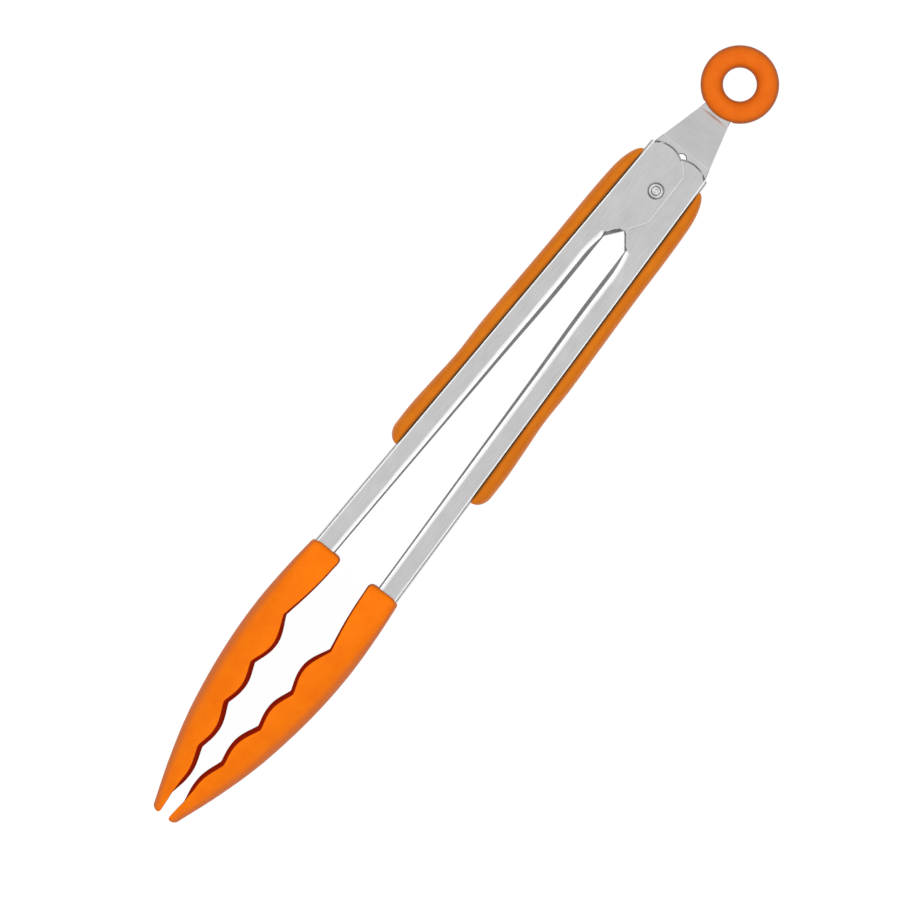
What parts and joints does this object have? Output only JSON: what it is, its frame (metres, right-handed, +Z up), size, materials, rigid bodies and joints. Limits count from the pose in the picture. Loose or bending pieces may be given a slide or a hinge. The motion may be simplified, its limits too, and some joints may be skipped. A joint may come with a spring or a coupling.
{
  "type": "kitchen tongs",
  "caption": "Spring loaded locking kitchen tongs with sheet steel arms, scalloped silicone heads, soft grips and a pull ring.",
  "frame": {"origin": "middle of the tongs' length and width, at the lowest point of the heads, as the closed tongs lie on one side", "axes": "+Y along the tongs towards the pull ring, +X towards the arm with the inner ears, +Z up along the pivot rivet"},
  "size_m": [0.0382, 0.305, 0.0342],
  "materials": {
    "brushed_steel": "satin brushed stainless steel",
    "tab_steel": "satin brushed stainless steel",
    "rivet_steel": "turned steel, semi-bright",
    "spring_steel": "drawn spring wire",
    "silicone": "smooth satin silicone",
    "ring_silicone": "smooth satin silicone",
    "grip_rubber": "matte soft grip",
    "nylon": "moulded nylon"
  },
  "bodies": {
    "pivot": {"pivot_rivet": "rivet_steel", "pivot_sleeve": "rivet_steel", "torsion_spring": "spring_steel"},
    "arm_left": {"arm_left": "brushed_steel", "grip_left": "grip_rubber", "head_core_left": "nylon", "head_left": "silicone"},
    "arm_right": {"arm_right": "brushed_steel", "grip_right": "grip_rubber", "head_core_right": "nylon", "head_right": "silicone"},
    "lock": {"lock_tab": "tab_steel", "pull_ring": "ring_silicone"}
  },
  "joints": [
    {"name": "left_arm_hinge", "type": "hinge", "parent": "pivot", "child": "arm_left", "pos_m": [0, 0.09727, 0.01708], "axis": [0, 0, -1], "range_deg": [0, 12], "stiffness_Nm_per_rad": 0.6, "springref_deg": 28.65, "deforming": ["torsion_spring"]},
    {"name": "right_arm_hinge", "type": "hinge", "parent": "pivot", "child": "arm_right", "pos_m": [0, 0.09727, 0.01708], "axis": [0, 0, 1], "range_deg": [0, 12]},
    {"name": "lock_slide", "type": "slide", "parent": "pivot", "child": "lock", "axis": [0, -1, 0], "range_m": [0, 0.0128]}
  ],
  "couplings": [
    {"joint": "right_arm_hinge", "follows": "left_arm_hinge", "ratio": 1},
    {"joint": "lock_slide", "follows": "left_arm_hinge", "m_per_rad": 0.061115}
  ]
}
